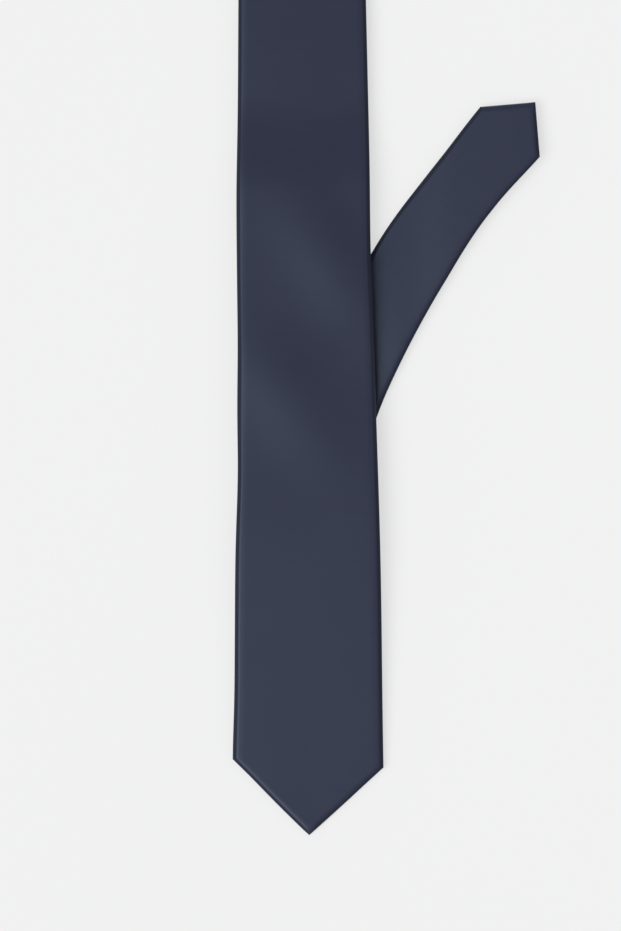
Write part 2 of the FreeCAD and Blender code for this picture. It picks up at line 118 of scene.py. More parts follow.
# Soft swells of the blade where it lies over the tail: middle, direction, half widths and height.
swellStart = (8, 60)  # they fade in above the point
swells = [
    {"at": (11.0, 231.5), "turn": -55.0, "across": 15.0, "along": 34.0, "rise": 0.95},
    {"at": (-6.5, 176.0), "turn": -52.0, "across": 16.0, "along": 36.0, "rise": 0.95},
]


def swell(x, y):
    total = 0.0
    for each in swells:
        turn = math.radians(each["turn"])
        dx, dy = x - each["at"][0], y - each["at"][1]
        along = dx * math.cos(turn) + dy * math.sin(turn)
        across = -dx * math.sin(turn) + dy * math.cos(turn)
        total += each["rise"] * math.exp(-((along / each["along"]) ** 2) - (across / each["across"]) ** 2)
    return total * between(y, swellStart)


# 0 before the span and 1 after it, straight between with its two corners rounded off.
def ramp(y, span, soft):
    def corner(d):
        return max(0.0, d) if abs(d) >= soft else (d + soft) ** 2 / (4 * soft)

    return (corner(y - span[0]) - corner(y - span[1])) / (span[1] - span[0])


def bladeLevel(y):
    over, neck = lay["bladeOver"], lay["neckOver"]
    return over * ramp(y, lay["bladeRise"], lay["riseSoft"]) - (over - neck) * between(y, lay["bladeDrop"])


def tailLevel(y):
    return lay["tailOver"] * (1 - between(y, lay["tailDrop"]))


# A place on the strip: x across it, y along it from the front point, h from its middle to its face.
def onTie(x, y, h):
    bend = y - lay["neckReach"]
    if bend <= 0:
        return inFrame(x + edgeWave(x, y), y - pointBow(x, y), bladeLevel(y) + halfDepth + h + swell(x, y))
    if bend < neckArc:
        turn, reach = bend / neckMiddle, neckMiddle + h
        return inFrame(x, lay["neckReach"] + reach * math.sin(turn), neckAxis + reach * math.cos(turn))
    y = lay["neckReach"] - (bend - neckArc)
    ahead = y - lay["creaseReach"]
    past = x * creaseOut[0] + ahead * creaseOut[1]
    if past <= 0:
        return inFrame(x, y, tailLevel(y) + halfDepth - h)
    along = x * creaseAlong[0] + ahead * creaseAlong[1]
    if past < creaseArc:
        turn = past / creaseMiddle
        out, z = (creaseMiddle - h) * math.sin(turn), creaseAxis + (creaseMiddle - h) * math.cos(turn)
    else:
        out, z = creaseArc - past, halfDepth + h
    return inFrame(
        along * creaseAlong[0] + out * creaseOut[0],
        lay["creaseReach"] + along * creaseAlong[1] + out * creaseOut[1],
        z,
    )


tailHalf = 15.65  # half the tail's width, and the length of its square point
tailEndLength = tailHalf + lay["curveRadius"] * math.radians(lay["curveEnd"] - lay["curveStart"])

# The free end stands off the table, more along one edge and towards its point.
tailLift = {"across": 1.3, "acrossFrom": (18, 40), "along": 3.2, "alongFrom": (30, 60), "alongRun": 90}

# The end bellies out of its curve and draws in a little, between these places back from its point.
tailSway = {"belly": 1.45, "bellyIn": (14, 74), "bellyOut": (132, 170),
            "narrow": 0.95, "narrowIn": (14, 42), "narrowOut": (48, 82)}


# The tail's end, face up: x out from the centre of its curve, y back from its point.
def onTailEnd(x, y, h):
    turn = math.radians(lay["curveEnd"]) - max(0.0, y - tailHalf) / lay["curveRadius"]
    ahead = max(0.0, tailHalf - y)
    belly = tailSway["belly"] * between(y, tailSway["bellyIn"]) * (1 - between(y, tailSway["bellyOut"]))
    reach = lay["curveRadius"] + x + belly
    right = curveCentre[0] - reach * math.cos(turn) + ahead * math.sin(turn)
    up = curveCentre[1] + reach * math.sin(turn) + ahead * math.cos(turn)
    lift = tailLift["across"] * (0.5 - x / (2 * tailHalf)) * between(right, tailLift["acrossFrom"])
    onward = max(0.0, right - tailLift["alongFrom"][0]) / tailLift["alongRun"]
    lift += tailLift["along"] * onward * between(right, tailLift["alongFrom"])
    return inFrame(right, up, halfDepth + h + lift)


# Half widths, where the front point ends, and how much the strip narrows for each millimetre.
widths = {"bladeHalf": 30.0, "shoulder": 29.5, "bladeTaper": 0.014223, "tailTaper": 0.00789,
          "neckHalf": 20.25}


def bladeHalf(y):
    return widths["bladeHalf"] - (y - widths["shoulder"]) * widths["bladeTaper"]


# The folded edges aren't ruled straight: each draws to and fro a little along the blade.
waveEnd = (320, 380)
edgeWaves = [
    {"side": -1, "at": 146.0, "reach": 24.0, "draw": 0.85},
    {"side": -1, "at": 194.0, "reach": 26.0, "draw": 0.55},
    {"side": -1, "at": 258.0, "reach": 22.0, "draw": -0.3},
    {"side": -1, "at": 32.0, "reach": 18.0, "draw": -0.6},
    {"side": 1, "at": 112.0, "reach": 58.0, "draw": 0.7},
    {"side": 1, "at": 235.0, "reach": 26.0, "draw": -0.45},
]

# How far the point's two edges bow outwards: the share of it at the tip, the share of the half width
# past which it changes no more, and where it fades above the point.
pointBelly = {"left": 0.95, "right": 0.35, "tip": 0.25, "heldFrom": 0.75, "end": (30, 75)}


def edgeWave(x, y):
    side = -1 if x < 0 else 1
    wave = sum(
        each["draw"] * math.exp(-(((y - each["at"]) / each["reach"]) ** 2))
        for each in edgeWaves if each["side"] == side
    )
    return wave * (x / bladeHalf(y)) ** 2 * (1 - between(y, waveEnd))


def pointBow(x, y):
    share = min(pointBelly["heldFrom"], abs(x) / widths["bladeHalf"])
    bow = pointBelly["tip"] + (1 - pointBelly["tip"]) * math.sin(math.pi * share)
    return pointBelly["left" if x < 0 else "right"] * bow * (1 - between(y, pointBelly["end"]))


def tieHalf(y):
    if y <= lay["neckReach"]:
        return bladeHalf(y)
    back = lay["neckReach"] - max(0.0, y - tailStart)
    return tailHalf + max(0.0, back - lay["creaseReach"]) * widths["tailTaper"]


def tailEndHalf(y):
    drawn = between(y, tailSway["narrowIn"]) * (1 - between(y, tailSway["narrowOut"]))
    return tailHalf - tailSway["narrow"] * drawn


# flat holds each point's place on the cloth as cut, edge how near it lies to a rolled edge, where the satin
# is lightened partly for wear and partly as a painted highlight.
def newObject(name, points, faces, flat, edge=None):
    mesh = bpy.data.meshes.new(name)
    mesh.from_pydata(points, [], faces)
    cutPlan = mesh.uv_layers.new(name="flat")
    for loop in mesh.loops:
        cutPlan.data[loop.index].uv = flat[loop.vertex_index]
    if edge:
        wearAndHighlight = mesh.attributes.new("wearAndHighlight", "FLOAT", "POINT")
        wearAndHighlight.data.foreach_set("value", edge)
    mesh.polygons.foreach_set("use_smooth", [True] * len(mesh.polygons))
    piece = bpy.data.objects.new(name, mesh)
    bpy.context.scene.collection.objects.link(piece)
    return piece


def pickOnly(piece):
    bpy.ops.object.select_all(action="DESELECT")
    piece.select_set(True)
    bpy.context.view_layer.objects.active = piece


def thickened(piece, gauge):
    pickOnly(piece)
    modifier = piece.modifiers.new("gauge", "SOLIDIFY")
    modifier.thickness, modifier.offset = gauge * mm, -1.0
    bpy.ops.object.modifier_apply(modifier=modifier.name)
    return piece


# Steps over a rolled edge, from the fold inwards; they are stretched to the roll's own reach.
faceSteps = (0, 0.1, 0.3, 0.6, 1.1, 1.8, 2.7, 3.8)
backSteps = (0.08, 0.25, 0.55, 1.0, 1.8)


# Places across the strip as shares of its half width, close together over the rolled edges.
def sharesAcross(half, reach, pitch):
    near = [1 - d * reach / faceSteps[-1] / half for d in faceSteps]
    count = 2 * max(1, round((half - reach) / pitch))
    middle = [near[-1] * (1 - 2 * k / count) for k in range(1, count)]
    return [-s for s in near] + [-s for s in middle] + near[::-1]


# Places along the strip: each stop says where a stretch starts and how far apart its rows are.
def rowsThrough(*stops):
    rows = [stops[0][0]]
    for (start, pitch), (end, _) in zip(stops, stops[1:]):
        count = max(1, round((end - start) / pitch))
        rows += [start + (end - start) * (k + 1) / count for k in range(count)]
    return rows


# Height of the cloth at a distance from its folded edge.
def rolled(distance, reach, rise):
    if distance >= reach:
        return rise
    return rise * math.sqrt(max(0.0, 1 - ((reach - distance) / reach) ** 2))


def pointDistance(point, x, y):
    if not point:
        return math.inf
    angle = math.radians(point["left"] if x < 0 else point["right"])
    return y * math.cos(angle) - abs(x) * math.sin(angle)


settleRounds = 4


# Where a share of the width meets a row, with the rows following the point and the bias joins.
def settled(plan, share, base, inset=0.0):
    x = share * (plan["half"](base) - inset)
    for _ in range(settleRounds):
        y = base + plan["slant"](x, base)
        if plan["point"]:
            angle = math.radians(plan["point"]["left"] if share < 0 else plan["point"]["right"])
            fade = 1 - ease(base / plan["point"]["fade"])
            y += (abs(x) * math.tan(angle) + inset / math.cos(angle)) * fade
        x = share * (plan["half"](y) - inset)
    return x, y


def edgeDistance(plan, x, y):
    return max(0.0, min(plan["half"](y) - abs(x), pointDistance(plan["point"], x, y)))


def mix(a, b, t):
    return (a[0] + (b[0] - a[0]) * t, a[1] + (b[1] - a[1]) * t)


# Inner edge of a back flap, opposite a place on the folded edge. Above the tack the two flaps meet at
# the seam; below it they open to a kite over the tipping, and the point has a hem.
def flapEdge(plan, side, spot, base, onPoint):
    point = plan["point"]
    seam = side * plan["seamHalf"]
    if not point or not onPoint and spot[1] >= point["tack"]:
        return (seam, base + plan["slant"](seam, base))
    angle = math.radians(point["left"] if side < 0 else point["right"])
    slope, hem = math.tan(angle), point["hem"]
    half = plan["half"](widths["bladeHalf"])
    shoulder = half * slope
    kite = (half - hem) / (point["tack"] - point["shoulder"])
    cornerY = (slope * kite * point["tack"] + hem / math.cos(angle)) / (1 + slope * kite)
    corner = (side * kite * (point["tack"] - cornerY), cornerY)
    if onPoint:
        tip = (side * plan["tipHalf"], hem / math.cos(angle))
        return mix(tip, corner, min(1.0, abs(spot[0]) / plan["half"](shoulder)))
    return mix(corner, (seam, point["tack"]), (spot[1] - shoulder) / (point["tack"] - shoulder))


# Cloth wrapped round a strip: its face, the two rolled edges, and the flaps that meet at the back.
def foldedCloth(name, plan, place):
    rise, faceRoll, backRoll = plan["rise"], plan["faceRoll"], plan["backRoll"]
    points, flat, faces, edge = [], [], [], []

    def add(x, y, h, u, v, wearAndHighlight):
        points.append(place(x, y, h))
        flat.append((u * mm, v * mm))
        edge.append(wearAndHighlight)
        return len(points) - 1

    # the cloth dips into the seams that join it to the next length
    def tucked(base):
        ends = (base - plan["rows"][0], plan["rows"][-1] - base)
        joined = [far for far, isJoined in zip(ends, plan["joins"]) if isJoined]
        return plan["tuckDepth"] * sum(math.exp(-((far / plan["tuckReach"]) ** 2)) for far in joined)

    grid, spots = [], []
    for base in plan["rows"]:
        row, rowSpots = [], []
        for share in plan["shares"]:
            x, y = settled(plan, share, base)
            distance = edgeDistance(plan, x, y)
            h = rolled(distance, faceRoll, rise)
            h -= tucked(base) * h / rise
            row.append(add(x, y, h, x, y, max(0.0, 1 - distance / faceRoll)))
            rowSpots.append((x, y))
        grid.append(row)
        spots.append(rowSpots)
    for low, high in zip(grid, grid[1:]):
        for k in range(len(low) - 1):
            faces.append((low[k], low[k + 1], high[k + 1], high[k]))

    middle = plan["shares"].index(min(plan["shares"], key=abs))
    last = len(plan["shares"]) - 1
    lip = plan["lip"]
    for side in (-1, 1):
        column = 0 if side < 0 else last
        outline = []
        if plan["point"]:
            walk = range(middle, -1, -1) if side < 0 else range(middle, last + 1)
            outline += [(0, k, True) for k in walk]
        else:
            outline += [(0, column, False)]
        outline += [(i, column, False) for i in range(1, len(grid))]
        bands = []
        for i, k, onPoint in outline:
            spot, base = spots[i][k], plan["rows"][i]
            inside = flapEdge(plan, side, spot, base, onPoint)
            width = math.hypot(inside[0] - spot[0], inside[1] - spot[1])
            radius = plan["gauge"] * plan["lipLoose"] if lip else 0.0
            reaches = [(d * backRoll / backSteps[-1], -rise) for d in backSteps]
            flatRun = width - radius - backRoll
            steps = plan["flapSteps"]
            reaches += [(backRoll + flatRun * k / steps, -rise) for k in range(1, steps + 1)]
            if lip:
                reaches += [
                    (width - 0.3 * radius, -rise + 0.3 * radius),
                    (width, -rise + radius),
                    (width - 0.3 * radius, -rise + 1.7 * radius),
                    (width - radius, -rise + 2 * radius),
                    (width - lip, -rise + 2 * radius),
                ]
            band = [grid[i][k]]
            run, before = 0.0, 0.0
            for reach, h in reaches:
                run += abs(reach - before)
                before = reach
                x, y = mix(spot, inside, reach / width)
                if h == -rise:
                    h = -rolled(edgeDistance(plan, x, y), backRoll, rise)
                h -= tucked(base) * h / rise
                u, v = mix(spot, inside, -run / width)
                band.append(add(x, y, h, u, v, max(0.0, 1 - reach / faceRoll)))
            bands.append(band)
        for low, high in zip(bands, bands[1:]):
            for k in range(len(low) - 1):
                loop = (low[k], high[k], high[k + 1], low[k + 1])
                faces.append(loop if side < 0 else loop[::-1])
    return thickened(newObject(name, points, faces, flat, edge), plan["gauge"])


layerRoom = {"above": 0.04, "thinnest": 0.1}  # air under the cloth, and the least a layer thins to


# A plain layer inside the strip, between two heights, its edge drawn in under the rolled cloth.
def layer(name, plan, place, inset, low, high, gauge):
    points, flat, faces, tops, bottoms = [], [], [], [], []
    for base in plan["rows"]:
        top, bottom = [], []
        for share in plan["shares"]:
            x, y = settled(plan, share, base, inset)
            distance = edgeDistance(plan, x, y)
            ceiling = rolled(distance, plan["faceRoll"], plan["rise"]) - gauge - layerRoom["above"]
            up = max(low + layerRoom["thinnest"], min(high, ceiling))
            for rank, h in ((top, up), (bottom, low)):
                points.append(place(x, y, h))
                flat.append((x * mm, y * mm))
                rank.append(len(points) - 1)
        tops.append(top)
        bottoms.append(bottom)
    width = len(plan["shares"]) - 1
    for i in range(len(tops) - 1):
        for k in range(width):
            faces.append((tops[i][k], tops[i][k + 1], tops[i + 1][k + 1], tops[i + 1][k]))
            faces.append((bottoms[i][k], bottoms[i + 1][k], bottoms[i + 1][k + 1], bottoms[i][k + 1]))
        faces.append((tops[i][0], tops[i + 1][0], bottoms[i + 1][0], bottoms[i][0]))
        faces.append((tops[i][width], bottoms[i][width], bottoms[i + 1][width], tops[i + 1][width]))
    for k in range(width):
        faces.append((tops[0][k], bottoms[0][k], bottoms[0][k + 1], tops[0][k + 1]))
        faces.append((tops[-1][k], tops[-1][k + 1], bottoms[-1][k + 1], bottoms[-1][k]))
    return newObject(name, points, faces, flat)


# A socket of a material, so that its shader maths reads as plain sums.
class Wire:
    def __init__(self, tree, socket=None):
        self.tree, self.socket = tree, socket

    def node(self, kind, settings=(), inputs=(), output=0):
        made = self.tree.nodes.new("ShaderNode" + kind)
        for key, value in dict(settings).items():
            setattr(made, key, value)
        for key, value in dict(inputs).items():
            if isinstance(value, Wire):
                self.tree.links.new(value.socket, made.inputs[key])
            else:
                made.inputs[key].default_value = value
        return Wire(self.tree, made.outputs[output])

    def maths(self, operation, first, second):
        return self.node("Math", {"operation": operation}, {0: first, 1: second})

    def __add__(self, other):
        return self.maths("ADD", self, other)

    def __sub__(self, other):
        return self.maths("SUBTRACT", self, other)

    def __rsub__(self, other):
        return self.maths("SUBTRACT", other, self)

    def __mul__(self, other):
        return self.maths("MULTIPLY", self, other)

    __radd__ = __add__
    __rmul__ = __mul__


def newFinish(name, **constants):
    material = bpy.data.materials.new(name)
    material.use_nodes = True
    tree = material.node_tree
    surface = tree.nodes["Principled BSDF"]
    for key, value in constants.items():
        surface.inputs[key.replace("_", " ")].default_value = value
    return material, Wire(tree), surface


def feed(wire, surface, **links):
    for key, value in links.items():
        wire.tree.links.new(value.socket, surface.inputs[key.replace("_", " ")])


# A place on the flat cloth, turned off the grain and stretched.
def clothPlace(wire, turn=0, scale=(1, 1, 1), source="UV"):
    coords = wire.node("TexCoord", output=source)
    return wire.node(
        "Mapping", {}, {"Vector": coords, "Rotation": (0, 0, math.radians(turn)), "Scale": scale}
    )


def blendColour(wire, share, first, second):
    return wire.node("Mix", {"data_type": "RGBA"}, {0: share, 6: first, 7: second}, 2)


bandScale = 6.283  # yarns over this, as a wave texture's scale, draws about a band for two yarns
bias = 45  # degrees between the yarns and the strip

satinLook = {
    "deep": (0.0128, 0.0134, 0.0285, 1),
    "light": (0.0190, 0.0202, 0.0450, 1),
    # the rolled edges' lighter tone: partly wear, partly a painted highlight
    "wearAndHighlight": (0.0300, 0.0345, 0.0760, 1),
    "glint": (0.63, 0.76, 1.0, 1),
    "sheen": (0.75, 0.8, 1.0, 1),
    "roughness": 0.31,
    "cloudScale": 22.0,
    "slubs": (50, 620, 1),  # streaks along the bias, far longer than wide
    "yarns": 2600,  # in a metre
    "relief": 0.10,
    "reliefDepth": 0.00012,
    "dullAndShadeFrom": 0.07,  # sideways lean where the rolled edge starts to dull and take painted shade
    "dullAndShadeTo": 0.30,
    # share of black mixed into the rolled edges' colour, as painted shade
    "paintedShade": 0.55,
    "dullRoughness": 0.4,
}


def satinFinish(name, look):
    material, wire, surface = newFinish(
        name, Specular_IOR_Level=0.5, Specular_Tint=look["glint"], Sheen_Weight=0.1,
        Sheen_Roughness=0.4, Sheen_Tint=look["sheen"])
    clouds = wire.node("TexNoise", {}, {
        "Vector": clothPlace(wire), "Scale": look["cloudScale"], "Detail": 2.0})
    slubs = wire.node("TexNoise", {}, {
        "Vector": clothPlace(wire, bias, look["slubs"]), "Scale": 1.0, "Detail": 3.0})
    floats = wire.node("TexWave", {"bands_direction": "Y", "wave_profile": "SIN"}, {
        "Vector": clothPlace(wire, bias), "Scale": look["yarns"] / bandScale, "Distortion": 0.6,
        "Detail": 1.0, "Detail Scale": 3.0})
    crossings = wire.node("TexVoronoi", {}, {
        "Vector": clothPlace(wire, bias, (look["yarns"] * 0.2, look["yarns"] * 0.5, 1)),
        "Scale": 1.0, "Randomness": 0.25})
    wearAndHighlight = wire.node("Attribute", {"attribute_name": "wearAndHighlight"}, output="Fac")
    share = clouds * 0.55 + slubs * 0.45
    body = blendColour(wire, share, look["deep"], look["light"])
    # the rolled edges are lightened: partly wear, partly a painted highlight
    body = blendColour(wire, wearAndHighlight * wearAndHighlight * (0.25 + 0.3 * slubs), body, look["wearAndHighlight"])
    # the rolled edges lean to the side: their floats are pressed open and dull, so they are rougher there,
    # and their colour is darkened towards black as painted shade that holds down the sun's highlight on them
    lean = wire.node("SeparateXYZ", {}, {"Vector": wire.node("TexCoord", output="Normal")}, output="X")
    sideways = wire.node("MapRange", {"interpolation_type": "SMOOTHSTEP"}, {
        "Value": lean * lean, "From Min": look["dullAndShadeFrom"] ** 2, "From Max": look["dullAndShadeTo"] ** 2})
    body = blendColour(wire, sideways * look["paintedShade"], body, (0.0, 0.0, 0.0, 1))
    roughness = look["roughness"] + 0.07 * clouds + 0.05 * slubs - 0.03 * wearAndHighlight
    relief = floats * 0.6 + crossings * 0.4 + slubs * 0.5
    bump = wire.node("Bump", {}, {
        "Strength": look["relief"], "Distance": look["reliefDepth"], "Height": relief})
    feed(wire, surface, Base_Color=body, Roughness=roughness + look["dullRoughness"] * sideways, Normal=bump)
    return material


tippingLook = {"deep": (0.010, 0.012, 0.030, 1), "light": (0.020, 0.024, 0.055, 1),
               "yarns": 3800, "roughness": 0.5, "relief": 0.25}
labelLook = {"deep": (0.016, 0.018, 0.040, 1), "light": (0.045, 0.050, 0.095, 1),
             "yarns": 2400, "roughness": 0.45, "relief": 0.4}
ribbonLook = {"deep": (0.62, 0.62, 0.60, 1), "light": (0.80, 0.80, 0.78, 1),
              "yarns": 3000, "roughness": 0.4, "relief": 0.3}


# Plain weave: two sets of yarns that cross square.
def plainClothFinish(name, look):
    material, wire, surface = newFinish(name, Specular_IOR_Level=0.25, Sheen_Weight=0.2)
    across, along = [
        wire.node("TexWave", {"bands_direction": direction}, {
            "Vector": clothPlace(wire), "Scale": look["yarns"] / bandScale, "Distortion": 0.8, "Detail": 1.0})
        for direction in "XY"
    ]
    clouds = wire.node("TexNoise", {}, {"Vector": clothPlace(wire), "Scale": 90.0, "Detail": 4.0})
    weave = across * along
    bump = wire.node("Bump", {}, {
        "Strength": look["relief"], "Distance": 0.00015, "Height": weave + clouds * 0.4})
    feed(wire, surface, Base_Color=blendColour(wire, weave * 0.5 + clouds * 0.5, look["deep"], look["light"]),
         Roughness=look["roughness"] + 0.12 * clouds, Normal=bump)
    return material


woolLook = {"deep": (0.42, 0.38, 0.31, 1), "light": (0.72, 0.68, 0.6, 1), "fibres": (700, 2600, 1),
            "felt": 240.0, "roughness": 0.85, "relief": 0.5}


def woolFinish(name, look):
    material, wire, surface = newFinish(name, Specular_IOR_Level=0.15, Sheen_Weight=0.5)
    fibres = wire.node("TexNoise", {}, {
        "Vector": clothPlace(wire, 20, look["fibres"]), "Scale": 1.0, "Detail": 5.0, "Distortion": 1.2})
    felt = wire.node("TexNoise", {}, {"Vector": clothPlace(wire), "Scale": look["felt"], "Detail": 5.0})
    bump = wire.node("Bump", {}, {
        "Strength": look["relief"], "Distance": 0.0003, "Height": fibres + felt * 0.7})
    feed(wire, surface, Base_Color=blendColour(wire, fibres * 0.6 + felt * 0.4, look["deep"], look["light"]),
         Roughness=look["roughness"] + 0.1 * felt, Normal=bump)
    return material


threadLook = {"deep": (0.008, 0.010, 0.028, 1), "light": (0.030, 0.036, 0.080, 1), "twist": 900.0,
              "fuzz": 3000.0, "roughness": 0.5, "relief": 0.4}


def threadFinish(name, look):
    material, wire, surface = newFinish(name, Specular_IOR_Level=0.35, Sheen_Weight=0.15)
    place = clothPlace(wire, source="Object")
    twist = wire.node("TexWave", {"bands_direction": "DIAGONAL"}, {
        "Vector": place, "Scale": look["twist"], "Distortion": 0.5})
    fuzz = wire.node("TexNoise", {}, {"Vector": place, "Scale": look["fuzz"], "Detail": 2.0})
    bump = wire.node("Bump", {}, {"Strength": look["relief"], "Distance": 0.00004, "Height": twist})
    feed(wire, surface, Base_Color=blendColour(wire, twist * 0.7 + fuzz * 0.3, look["deep"], look["light"]),
         Roughness=look["roughness"] + 0.15 * fuzz, Normal=bump)
    return material


satin = satinFinish("navySatin", satinLook)
tippingCloth = plainClothFinish("navyTipping", tippingLook)
labelCloth = plainClothFinish("wovenLabel", labelLook)
ribbonCloth = plainClothFinish("whiteRibbon", ribbonLook)
wool = woolFinish("nappedWool", woolLook)
thread = threadFinish("navyThread", threadLook)
print("finishes made")


def dressed(piece, finish):
    piece.data.materials.clear()
    piece.data.materials.append(finish)
    return piece


# The three lengths of satin are joined by seams that run aslant; run is how far a seam's slant fades.
join = {"angle": 40.0, "gap": 0.05, "frontLead": 105.0, "tailLead": 75.0, "frontRun": 70, "run": 65}
biasSlope = math.tan(math.radians(join["angle"]))
frontJoin, tailJoin = lay["neckReach"] - join["frontLead"], tailStart + join["tailLead"]

# What every length of the strip has in common.
strip = {
    "rise": halfDepth,  # half the strip's thickness
    "gauge": 0.32,  # thickness of the satin
    "faceRoll": 2.4,  # how far the rolled edge reaches over the face
    "backRoll": 1.8,
    "seamHalf": 0.05,  # half the gap of the centre seam
    "tipHalf": 0.03,  # and of the slit where the point's two hems meet
    "lip": 5.0,  # what the flaps' edges turn under
    "lipLoose": 1.03,  # the turn's radius in thicknesses of the satin
    "flapSteps": 5,
    "tuckReach": 0.55,  # how far and how deep the cloth dips into a joining seam
    "tuckDepth": 0.2,
}


def frontSlant(x, base):
    return x * biasSlope * between(base, (frontJoin - join["frontRun"], frontJoin))


def neckSlant(x, base):
    near = x * biasSlope * (1 - between(base, (frontJoin, frontJoin + join["run"])))
    return near - x * biasSlope * between(base, (tailJoin - join["run"], tailJoin))


# The crease cloth starts before the bend and ends past it; slantRun is how far its slant fades.
crease = {"before": 4, "after": 2, "slantRun": 45}
creaseStart = tailStart + lay["neckReach"] - lay["creaseReach"]
creaseNear = creaseStart - crease["before"] / creaseAlong[0]
creaseMid = creaseNear + (crease["before"] + creaseArc / 2) / creaseAlong[0]
creaseFar = creaseStart + (creaseArc + crease["after"]) / creaseAlong[0]
tailEndFar = tailEndLength - crease["after"] / creaseAlong[0]


def slantToCrease(x, base, end):
    return x * creaseSlope * between(base, (end - crease["slantRun"], end))


def tailSlant(x, base):
    near = -x * biasSlope * (1 - between(base, (tailJoin, tailJoin + join["run"])))
    return near + slantToCrease(x, base, creaseNear)


def noSlant(x, base):
    return 0.0


# Rows lie closest at a point, at a joining seam and in the middle of a fold.
neckTop = lay["neckReach"] + neckArc / 2
roll, columns = strip["faceRoll"], 2.4
pointRows = ((0, 0.3), (0.6, 0.6), (1.8, 0.9), (4.5, 1.5))

frontPlan = dict(
    strip, half=bladeHalf, slant=frontSlant, joins=(False, True),
    point={"left": 46.5, "right": 42.2, "hem": 8.0, "shoulder": widths["shoulder"], "tack": 95.0,
           "fade": 70.0},
    shares=sharesAcross(widths["bladeHalf"], roll, columns),
    rows=rowsThrough(*pointRows, (9, 2.2), (75, 2.5), (300, 4.0),
                     (frontJoin - 8, 1.2), (frontJoin - 2, 0.4), (frontJoin - join["gap"], 0.3)),
)
neckPlan = dict(
    strip, half=tieHalf, slant=neckSlant, joins=(True, True), point=None,
    shares=sharesAcross(widths["neckHalf"], roll, columns),
    rows=rowsThrough(
        (frontJoin + join["gap"], 0.3), (frontJoin + 2, 1.5), (frontJoin + 10, 4),
        (lay["neckReach"] - 6, 1.0),
        (lay["neckReach"], 0.22), (neckTop - 0.3, 0.03), (neckTop + 0.3, 0.22), (tailStart, 1.0),
        (tailStart + 6, 4), (tailJoin - 10, 1.5), (tailJoin - 2, 0.3), (tailJoin - join["gap"], 0.3)),
)
tailPlan = dict(
    strip, half=tieHalf, slant=tailSlant, joins=(True, False), point=None,
    shares=sharesAcross(tailHalf, roll, columns),
    rows=rowsThrough((tailJoin + join["gap"], 0.3), (tailJoin + 2, 1.5), (tailJoin + 10, 5),
                     (creaseNear - 200, 3), (creaseNear - 6, 1.0), (creaseNear, 1.0)),
)
creasePlan = dict(
    strip, half=tieHalf, slant=lambda x, base: x * creaseSlope, joins=(False, False), point=None,
    shares=sharesAcross(tailHalf, roll, columns),
    rows=rowsThrough((creaseNear, 1.0), (creaseNear + 3, 0.25), (creaseMid - 0.25, 0.04),
                     (creaseMid + 0.25, 0.25), (creaseFar - 1, 1.0), (creaseFar, 1.0)),
)
tailEndPlan = dict(
    strip, half=tailEndHalf, slant=lambda x, base: slantToCrease(x, base, tailEndFar),
    joins=(False, False), lip=3.2, flapSteps=4,
    point={"left": 45.0, "right": 45.0, "hem": 5.0, "shoulder": tailHalf, "tack": 59.08, "fade": 45.0},
    shares=sharesAcross(tailHalf, roll, 2.2),
    rows=rowsThrough(*pointRows, (9, 2.0), (tailEndFar, 2.0)),
)

frontCloth = dressed(foldedCloth("frontCloth", frontPlan, onTie), satin)
neckCloth = dressed(foldedCloth("neckCloth", neckPlan, onTie), satin)
tailCloth = dressed(foldedCloth("tailCloth", tailPlan, onTie), satin)
creaseCloth = dressed(foldedCloth("creaseCloth", creasePlan, onTie), satin)
tailEndCloth = dressed(foldedCloth("tailEndCloth", tailEndPlan, onTailEnd), satin)
print("cloth folded")

# Each fold's span, from just off the one layer that it joins to just off the other.
clear = 0.02
neckBlend = (inFrame(0, 0, lay["depth"] + clear), inFrame(0, 0, lay["neckOver"] - clear))
creaseBlend = (inFrame(0, 0, lay["tailOver"] - clear), inFrame(0, 0, lay["depth"] + clear))

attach(frontCloth, "front_blade")
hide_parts("front_cloth")
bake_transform(neckCloth)
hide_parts("neck_cloth_front", "neck_fold_cloth", "neck_cloth_rear")
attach(tailCloth, "tail_strip")
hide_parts("tail_cloth")
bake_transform(creaseCloth)
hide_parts("tail_fold_cloth")
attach(tailEndCloth, "tail_end")
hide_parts("tail_end_cloth")

# Interlining and tipping: heights from the strip's middle, and how far up the tipping reaches.
inner = {
    "inset": 1.2,
    "lining": (-0.40, 0.97),
    "tipping": (-0.65, -0.45),
    "tippingReach": 119.0,
    "tailTippingReach": 80.8,
    "pastBend": 3,  # how far the neck's lining runs past the bend at either end
}
innerRows = ((0, 1.0), (3, 2.5))


def liningStrip(name, plan, rows, place, heights=inner["lining"]):
    thinned = dict(plan, rows=rows, shares=plan["shares"][::2])
    return layer(name, thinned, place, inner["inset"], *heights, strip["gauge"])


neckNear, neckFar = lay["neckReach"] - inner["pastBend"], tailStart + inner["pastBend"]
frontLining = liningStrip(
    "frontLining", dict(frontPlan, half=tieHalf, slant=noSlant),
    rowsThrough(*innerRows, (300, 6), (neckNear, 6)), onTie)
neckLining = liningStrip(
    "neckLining", dict(neckPlan, slant=noSlant),
    rowsThrough((neckNear, 1), (lay["neckReach"], 0.25), (neckTop - 0.3, 0.04), (neckTop + 0.3, 0.25),
                (tailStart, 1), (neckFar, 1)), onTie)
tailLining = liningStrip(
    "tailLining", dict(tailPlan, slant=lambda x, base: slantToCrease(x, base, creaseNear)),
    rowsThrough((neckFar, 8), (creaseNear - 200, 5), (creaseNear, 5)), onTie)
creaseLining = liningStrip("creaseLining", creasePlan, creasePlan["rows"], onTie)
tailEndLining = liningStrip(
    "tailEndLining", tailEndPlan, rowsThrough(*innerRows, (tailEndFar, 3)), onTailEnd)
for lining in (frontLining, neckLining, tailLining, creaseLining, tailEndLining):
    dressed(lining, wool)
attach(frontLining, "front_blade")
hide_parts("front_interlining")
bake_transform(neckLining)
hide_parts("neck_fold_interlining")
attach(tailLining, "tail_strip")
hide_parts("tail_interlining")
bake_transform(creaseLining)
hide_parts("tail_fold_interlining")
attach(tailEndLining, "tail_end")
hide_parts("tail_end_interlining")

